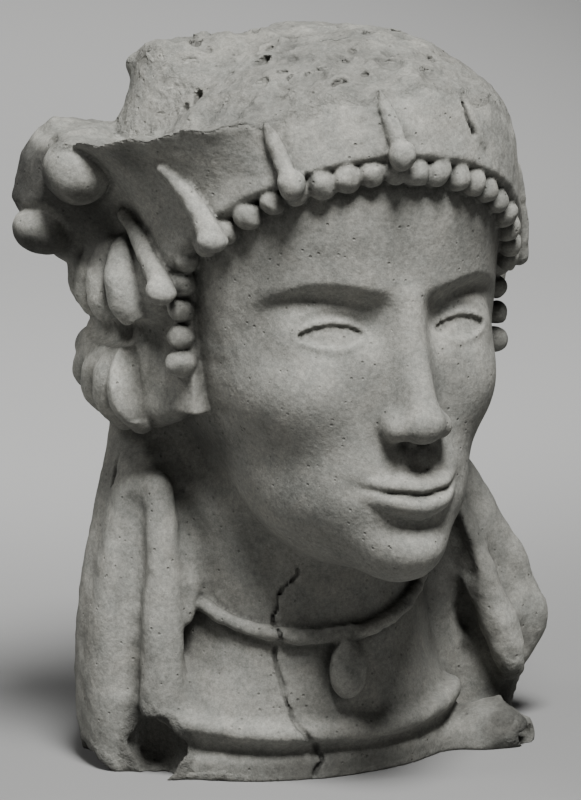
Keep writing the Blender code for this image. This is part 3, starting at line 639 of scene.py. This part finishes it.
def crack(clay):
    """A fine crack down the neck, laid on whatever stands outermost there."""
    knots = curve(CRACK, 34)
    rng = np.random.default_rng(11)
    knots[:, 0] += np.convolve(rng.normal(size=34), (0.3, 0.5, 0.3), "same") * 1.3
    found = []
    for x, _, z in knots:
        i, k = int(round((x - LOW[0]) / STEP)), int(round((z - LOW[2]) / STEP))
        inside = np.nonzero(clay.grid[i, :, max(k, 0)] < 0)[0]
        y = LOW[1] + STEP * inside
        y = y[y > -72]
        found.append((x, y.min() if len(y) else -55.0, z))
    found = np.array(found)
    for a, b in zip(found[:-1], found[1:]):
        if abs(a[1] - b[1]) < 9:
            clay.tube([a, b], [0.95, 0.95], k=0.3, count=3, cut=True)
    return found


def weather(clay):
    """Slight unevenness of hand-pressed clay all over."""
    for i in range(0, clay.shape[0], 32):
        x = clay.axes[0][i : i + 32, None, None]
        y, z = clay.axes[1][None, :, None], clay.axes[2][None, None, :]
        face = ease((-y - 70) / 12) * ease((z - 96) / 8) * ease((232 - z) / 10)
        wear = 0.45 * noise(x, y, z, 16.0, 31) + 0.3 * noise(x, y, z, 7.0, 32) + 0.22 * noise(x, y, z, 3.2, 33)
        torn = ease((x - 60) / 14) * ease((122 - z) / 25)
        torn = torn * (1.1 * noise(x, y, z, 14.0, 34) + 0.55 * noise(x, y, z, 6.0, 35))
        clay.grid[i : i + 32] += wear * (1 - 0.75 * face) + torn


def model():
    clay = Clay()
    press_veil(clay)
    press_neck(clay)
    carve_veil(clay)
    press_head(clay)
    press_face(clay)
    press_hair(clay)
    press_plates(clay)
    press_crown(clay)
    press_bars(clay)
    press_beads(clay)
    press_cord(clay)
    clay.crack = crack(clay)
    weather(clay)
    clay.add(lambda x, y, z: z, (-200, -200, -10), (200, 200, 2), k=0.6, cut=True)
    return clay
# ---- shape: end


def skin(grid):
    """Quads through the cells where the grid changes sign (surface nets)."""
    inside = grid < 0
    n = [s - 1 for s in grid.shape]
    count = np.zeros(n, np.int8)
    for dx in (0, 1):
        for dy in (0, 1):
            for dz in (0, 1):
                count += inside[dx : dx + n[0], dy : dy + n[1], dz : dz + n[2]]
    cells = np.argwhere((count > 0) & (count < 8))
    index = np.full(n, -1, np.int32)
    index[tuple(cells.T)] = np.arange(len(cells))
    total = np.zeros((len(cells), 3))
    crossings = np.zeros(len(cells))
    for axis in range(3):
        for u in (0, 1):
            for v in (0, 1):
                a = np.zeros(3, int)
                a[(axis + 1) % 3], a[(axis + 2) % 3] = u, v
                b = a.copy()
                b[axis] = 1
                fa, fb = grid[tuple((cells + a).T)], grid[tuple((cells + b).T)]
                cross = (fa < 0) != (fb < 0)
                s = np.where(cross, fa / np.where(cross, fa - fb, 1), 0)
                p = a + (b - a) * s[:, None]
                total += np.where(cross[:, None], p, 0)
                crossings += cross
    points = LOW + STEP * (cells + total / crossings[:, None])
    quads = []
    for axis in range(3):
        o, p = (axis + 1) % 3, (axis + 2) % 3
        one = [slice(None)] * 3
        two = [slice(None)] * 3
        one[axis], two[axis] = slice(0, -1), slice(1, None)
        a, b = inside[tuple(one)], inside[tuple(two)]
        for flip, edges in ((False, a & ~b), (True, ~a & b)):
            e = np.argwhere(edges)
            keep = (e[:, o] > 0) & (e[:, p] > 0) & (e[:, o] < n[o]) & (e[:, p] < n[p])
            e = e[keep]
            ring = []
            for du, dv in ((-1, -1), (0, -1), (0, 0), (-1, 0)):
                c = e.copy()
                c[:, o] += du
                c[:, p] += dv
                ring.append(index[tuple(c.T)])
            quad = np.stack(ring, 1)
            quads.append(quad[:, ::-1] if flip else quad)
    return points, np.concatenate(quads)


def sample(grid, points):
    """Value and slope of the grid at points, by trilinear interpolation."""
    q = (points - LOW) / STEP
    i = np.clip(np.floor(q).astype(int), 0, np.array(grid.shape) - 2)
    f = q - i
    value = np.zeros(len(points))
    slope = np.zeros((len(points), 3))
    for dx in (0, 1):
        for dy in (0, 1):
            for dz in (0, 1):
                g = grid[i[:, 0] + dx, i[:, 1] + dy, i[:, 2] + dz]
                wx, wy, wz = (f[:, n] if d else 1 - f[:, n] for n, d in enumerate((dx, dy, dz)))
                value += g * wx * wy * wz
                slope[:, 0] += g * (1 if dx else -1) * wy * wz
                slope[:, 1] += g * wx * (1 if dy else -1) * wz
                slope[:, 2] += g * wx * wy * (1 if dz else -1)
    return value, slope / STEP


def one_piece(points, quads):
    """Only the largest connected skin, without loose crumbs or closed bubbles."""
    label = np.arange(len(points))
    a = np.concatenate([quads[:, 0], quads[:, 1], quads[:, 2]])
    b = np.concatenate([quads[:, 1], quads[:, 2], quads[:, 3]])
    while True:
        low = np.minimum(label[a], label[b])
        new = label.copy()
        np.minimum.at(new, label[a], low)
        np.minimum.at(new, label[b], low)
        new = new[new][new]
        if (new == label).all():
            break
        label = new
    keep = label == np.bincount(label).argmax()
    index = np.cumsum(keep) - 1
    return points[keep], index[quads[keep[quads[:, 0]]]]


def build_bust():
    clay = model()
    points, quads = one_piece(*skin(clay.grid))
    for _ in range(2):
        value, slope = sample(clay.grid, points)
        size = np.maximum((slope**2).sum(1), 0.15)
        points = points - np.clip(value / size, -0.8, 0.8)[:, None] * slope
    points[:, 2] = np.maximum(points[:, 2], 0.0)
    mesh = bpy.data.meshes.new("clay_skin")
    mesh.from_pydata((points * 0.001).tolist(), [], quads.tolist())
    mesh.update()
    bust = bpy.data.objects.new("bust_skin", mesh)
    bpy.context.scene.collection.objects.link(bust)
    lighten = bust.modifiers.new("lighten", "DECIMATE")
    lighten.ratio = min(1.0, 196000 / (2 * len(quads)))
    graph = bpy.context.evaluated_depsgraph_get()
    final = bpy.data.meshes.new_from_object(bust.evaluated_get(graph))
    bust.modifiers.clear()
    bust.data = final
    mark(final, clay)
    final.polygons.foreach_set("use_smooth", [True] * len(final.polygons))
    return bust


# painted shade under overhangs, in recesses, under the chin and by the base: middle, reach each way, share
PAINTED_SHADE_SPOTS = (
    ((-64, -30, 139), (22, 30, 13), 0.75), ((-69, -20, 13), (13, 14, 16), 0.8), ((85, -42, 10), (18, 17, 14), 0.85),
    ((97, -14, 13), (14, 18, 11), 0.85), ((64, -16, 76), (17, 22, 34), 0.9), ((66, -22, 54), (13, 16, 18), 0.7),
    ((-84, 14, 2), (16, 20, 8), 0.7), ((-50, -44, 92), (20, 18, 20), 0.35), ((-84, -22, 186), (14, 16, 4.5), 0.8),
    ((-4, -56, 5), (66, 15, 6.5), 0.72), ((-91, -50, 260), (9, 9, 7), 0.55),
    ((77, -47, 11), (12, 10, 11), 0.8), ((10, -90, 93), (34, 34, 13), 0.45), ((-103, -30, 242), (8, 10, 5), 0.75),
    ((-111, 5, 240), (9, 12, 9), 0.6),
)
# painted light on the locks and the veil on the figure's right: middle, reach each way, share
PAINTED_LIGHT_SPOTS = (
    ((-88, -6, 206), (22, 34, 22), 1.0), ((-84, -6, 168), (22, 34, 20), 1.0), ((-86, -4, 90), (22, 26, 60), 0.35),
)


def mark(mesh, clay):
    """Attributes for the material: where the skin is broken or cracked, how closed in it lies (for painted shade),
    painted shade in sheltered places and painted light on the locks and veil on the figure's right.
    """
    at = np.empty(3 * len(mesh.vertices))
    mesh.vertices.foreach_get("co", at)
    at = at.reshape(-1, 3) * 1000
    _, slope = sample(clay.grid, at)
    out = slope / np.maximum(np.linalg.norm(slope, axis=1), 0.2)[:, None]
    # painted shade: how closed in the skin is, from how much clay lies a little way out along its normal
    hollow_shade = np.zeros(len(at))
    for reach, share in ((2.2, 0.5), (5.0, 0.5)):
        value, _ = sample(clay.grid, at + out * reach)
        hollow_shade += share * np.clip((reach - value) / reach, -0.3, 1.0)
    x, y, z = at.T
    t = np.degrees(np.arctan2(x / BAND_A, -(y - HEAD_Y) / BAND_B))
    broken = ease((z - break_z(t) + 3.5) / 3) * ease((out[:, 2] - 0.15) / 0.35)
    for c, r, amount in TORN:
        d = ellipsoid(x, y, z, c, r)
        broken = np.maximum(broken, 1 - ease((np.abs(d) - amount - 0.5) / 1.5))
    # painted shade in the sheltered places, first on the flaring rim's face under its lip
    far = np.hypot(x / BAND_A, (y - HEAD_Y) / BAND_B)
    painted_shade = ease((-t - 92) / 7) * ease((z - 207) / 8) * (1 - ease((z - break_z(t) + 9) / 5)) * ease((far - 1.06) / 0.08)
    painted_shade = painted_shade * (1 - 0.5 * broken) * (1 - ease((-t - 118) / 12))
    # the eggs' upper parts stay clear of the painted shade, so only their undersides are painted dark
    for c, r in ((crown_point(-98.5, 251.0, -0.5), 15.0), (crown_point(-110, 224.0, -2.5), 13.0)):
        near = 1 - ease((np.linalg.norm(at - np.array(c), axis=1) - r) / 3)
        painted_shade = painted_shade * (1 - 0.85 * near * ease((z - c[2] + 3) / 9))
    for c, r, share in PAINTED_SHADE_SPOTS:
        d = sum(((v - c[n]) / r[n]) ** 2 for n, v in enumerate((x, y, z)))
        painted_shade = np.maximum(painted_shade, share * np.exp(-(d**1.5)))
    # painted light on the locks and the veil on the figure's right
    painted_light = np.zeros(len(at))
    for c, r, share in PAINTED_LIGHT_SPOTS:
        d = sum(((v - c[n]) / r[n]) ** 2 for n, v in enumerate((x, y, z)))
        painted_light = np.maximum(painted_light, share * np.exp(-(d**2)))
    line = curve(clay.crack, 160)
    gap = np.full(len(at), 99.0)
    for p in line:
        gap = np.minimum(gap, ((at - p) ** 2).sum(1))
    for name, value in (("painted_shade", np.clip(painted_shade, 0, 1)), ("painted_light", painted_light), ("hollow_shade", hollow_shade), ("broken", broken), ("crack", 1 - ease((np.sqrt(gap) - 0.25) / 0.8))):
        kept = mesh.attributes.new(name, "FLOAT", "POINT")
        kept.data.foreach_set("value", value.astype(np.float32))


def clay_material():
    """Pale fired clay: cloudy tone, grit, pits, painted shade in recesses and sheltered places, painted light on the
    locks and veil on the figure's right, coarser where it broke.
    """
    m = bpy.data.materials.new("fired_clay")
    m.use_nodes = True
    nodes, links = m.node_tree.nodes, m.node_tree.links
    shader = nodes["Principled BSDF"]
    shader.inputs["Specular IOR Level"].default_value = 0.22
    place = nodes.new("ShaderNodeTexCoord").outputs["Object"]

    def put(value, socket):
        if isinstance(value, (int, float)):
            socket.default_value = value
        else:
            links.new(value, socket)

    def cloud(scale, detail=4.0, rough=0.55, twist=0.0):
        n = nodes.new("ShaderNodeTexNoise")
        for name, value in (("Scale", scale), ("Detail", detail), ("Roughness", rough), ("Distortion", twist)):
            n.inputs[name].default_value = value
        links.new(place, n.inputs["Vector"])
        return n.outputs["Fac"]

    def cells(scale):
        n = nodes.new("ShaderNodeTexVoronoi")
        n.inputs["Scale"].default_value = scale
        links.new(place, n.inputs["Vector"])
        split = nodes.new("ShaderNodeSeparateColor")
        links.new(n.outputs["Color"], split.inputs["Color"])
        return n.outputs["Distance"], split.outputs["Red"]

    def span(value, a, b, c, d):
        n = nodes.new("ShaderNodeMapRange")
        put(value, n.inputs["Value"])
        for name, v in zip(("From Min", "From Max", "To Min", "To Max"), (a, b, c, d)):
            n.inputs[name].default_value = v
        return n.outputs["Result"]

    def calc(kind, a, b):
        n = nodes.new("ShaderNodeMath")
        n.operation = kind
        put(a, n.inputs[0])
        put(b, n.inputs[1])
        return n.outputs[0]

    def kept(name):
        n = nodes.new("ShaderNodeAttribute")
        n.attribute_name = name
        return n.outputs["Fac"]

    hollow_shade, broken, crack_line, painted_shade = kept("hollow_shade"), kept("broken"), kept("crack"), kept("painted_shade")
    # pits: in some cells only, round and small
    near, pick = cells(420.0)
    pit = calc("MULTIPLY", span(near, 0.12, 0.30, 1.0, 0.0), span(pick, 0.90, 0.93, 0.0, 1.0))
    near2, pick2 = cells(170.0)
    pit2 = calc("MULTIPLY", span(near2, 0.05, 0.13, 1.0, 0.0), span(pick2, 0.92, 0.95, 0.0, 1.0))
    pits = calc("MAXIMUM", pit, pit2)
    grit = cloud(1500.0, 2.0, 0.6)
    grain = cloud(520.0, 4.0, 0.65)
    blotch = cloud(16.0, 7.0, 0.62, 0.6)
    stain = cloud(46.0, 6.0, 0.7, 1.2)
    tone = calc("MULTIPLY", span(blotch, 0.3, 0.7, 0.78, 1.18), span(stain, 0.3, 0.72, 0.84, 1.12))
    tone = calc("MULTIPLY", tone, span(grain, 0.3, 0.7, 0.76, 1.22))
    tone = calc("MULTIPLY", tone, span(grit, 0.3, 0.7, 0.86, 1.14))
    tone = calc("MULTIPLY", tone, span(pits, 0.0, 1.0, 1.0, 0.72))
    # painted shade: darker where the skin is closed in, a touch lighter in the open
    tone = calc("MULTIPLY", tone, span(hollow_shade, 0.0, 0.75, 1.03, 0.50))
    tone = calc("MULTIPLY", tone, span(broken, 0.0, 1.0, 1.0, 0.70))
    # painted shade in sheltered places, down to about a quarter of the tone
    tone = calc("MULTIPLY", tone, span(calc("MULTIPLY", painted_shade, span(stain, 0.3, 0.7, 0.8, 1.15)), 0.0, 1.0, 1.0, 0.26))
    # painted light, up to 1.75 times brighter on the locks and the veil on the figure's right
    tone = calc("MULTIPLY", tone, span(calc("MULTIPLY", kept("painted_light"), span(stain, 0.35, 0.65, 0.75, 1.0)), 0.0, 1.0, 1.0, 1.75))
    tone = calc("MULTIPLY", tone, span(crack_line, 0.0, 1.0, 1.0, 0.45))
    warm = nodes.new("ShaderNodeMix")
    warm.data_type = "RGBA"
    put(span(stain, 0.35, 0.65, 0.0, 1.0), warm.inputs[0])
    warm.inputs[6].default_value = (0.186, 0.187, 0.170, 1)
    warm.inputs[7].default_value = (0.190, 0.186, 0.166, 1)
    colour = nodes.new("ShaderNodeVectorMath")
    colour.operation = "SCALE"
    links.new(warm.outputs[2], colour.inputs[0])
    put(tone, colour.inputs["Scale"])
    links.new(colour.outputs["Vector"], shader.inputs["Base Color"])
    put(span(grain, 0.3, 0.7, 0.82, 0.97), shader.inputs["Roughness"])

    lump = cloud(240.0, 5.0, 0.6)
    height = calc("ADD", calc("MULTIPLY", lump, span(broken, 0.0, 1.0, 0.55, 1.8)), calc("MULTIPLY", grain, span(broken, 0.0, 1.0, 0.30, 0.9)))
    height = calc("SUBTRACT", height, calc("MULTIPLY", pits, 0.55))
    height = calc("SUBTRACT", height, calc("MULTIPLY", crack_line, 0.8))
    relief = nodes.new("ShaderNodeBump")
    relief.inputs["Strength"].default_value = 0.75
    relief.inputs["Distance"].default_value = 0.0009
    put(height, relief.inputs["Height"])
    links.new(relief.outputs["Normal"], shader.inputs["Normal"])
    return m


def studio():
    scene = bpy.context.scene
    floor = bpy.data.meshes.new("floor")
    bm = bmesh.new()
    # a floor that curves up into the backdrop, turned to face the camera
    turn = Matrix.Rotation(math.radians(-26), 4, "Z")
    rows = []
    for s in np.linspace(0, 1, 40):
        if s < 0.4:
            y, z = -1.6 + 3.0 * s / 0.4, 0.0
        elif s < 0.8:
            a = (s - 0.4) / 0.4 * math.pi / 2
            y, z = 1.4 + 0.9 * math.sin(a), 0.9 - 0.9 * math.cos(a)
        else:
            y, z = 2.3, 0.9 + 0.3 * (s - 0.8) / 0.2
        rows.append([bm.verts.new(turn @ Vector((x, y, z))) for x in (-1.1, 1.1)])
    for a, b in zip(rows, rows[1:]):
        bm.faces.new((a[0], a[1], b[1], b[0]))
    bm.to_mesh(floor)
    bm.free()
    sweep = bpy.data.objects.new("studio_sweep", floor)
    scene.collection.objects.link(sweep)
    floor.polygons.foreach_set("use_smooth", [True] * len(floor.polygons))
    paper = bpy.data.materials.new("pale_paper")
    paper.use_nodes = True
    p = paper.node_tree.nodes["Principled BSDF"]
    p.inputs["Base Color"].default_value = (0.16, 0.16, 0.157, 1)
    p.inputs["Roughness"].default_value = 0.95
    floor.materials.append(paper)

    def area(name, place, aim, size, power):
        light = bpy.data.lights.new(name, "AREA")
        light.shape = "DISK"
        light.size = size
        light.energy = power
        o = bpy.data.objects.new(name, light)
        o.location = place
        o.rotation_euler = (Vector(aim) - Vector(place)).to_track_quat("-Z", "Y").to_euler()
        scene.collection.objects.link(o)

    middle = (0, -0.03, 0.17)
    area("key", (-0.20, -0.93, 1.74), middle, 0.65, 112.0)
    area("side", (-1.22, 0.30, 1.30), middle, 0.40, 9.0)
    area("fill", (-1.7, -0.5, 0.8), middle, 1.0, 0.6)
    # a lamp above the paper behind the bust, its cone kept off the bust
    lamp = bpy.data.lights.new("paper_lamp", "SPOT")
    lamp.energy, lamp.spot_size, lamp.spot_blend = 325.0, math.radians(68), 0.6
    lamp.shadow_soft_size = 0.2
    o = bpy.data.objects.new("paper_lamp", lamp)
    o.location = turn @ Vector((-0.30, 1.10, 1.8))
    aim = turn @ Vector((-0.30, 1.22, 0.0))
    o.rotation_euler = (aim - o.location).to_track_quat("-Z", "Y").to_euler()
    scene.collection.objects.link(o)
    world = bpy.data.worlds.new("studio")
    world.use_nodes = True
    back = world.node_tree.nodes["Background"]
    back.inputs["Color"].default_value = (1.0, 1.0, 0.98, 1)
    back.inputs["Strength"].default_value = 0.02
    scene.world = world


def camera():
    """At 26 degrees to the figure's right and 10 degrees up, 1.7 m from a point 150 mm above the base."""
    a, e = math.radians(-26.0), math.radians(10.0)
    back = Vector((math.sin(a) * math.cos(e), -math.cos(a) * math.cos(e), math.sin(e)))
    right = Vector((math.cos(a), math.sin(a), 0.0))
    up = back.cross(right)
    lens = bpy.data.cameras.new("view")
    lens.sensor_fit = "VERTICAL"
    lens.sensor_height = 36.0
    lens.lens = 2.4 * 1700.0 * 36.0 / 800.0
    # the aim point sits 3.5 pixels left of the middle and 5 above it
    lens.shift_x = 3.5 / 800.0
    lens.shift_y = -5.0 / 800.0
    lens.clip_start, lens.clip_end = 0.05, 20.0
    o = bpy.data.objects.new("view", lens)
    o.matrix_world = Matrix.Translation(Vector((0, 0, 0.15)) + back * 1.7) @ Matrix(
        (right, up, back)
    ).transposed().to_4x4()
    bpy.context.scene.collection.objects.link(o)
    bpy.context.scene.camera = o


bust = build_bust()
bust.data.materials.clear()
bust.data.materials.append(clay_material())
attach(bust, "root")
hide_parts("bust")
studio()
camera()
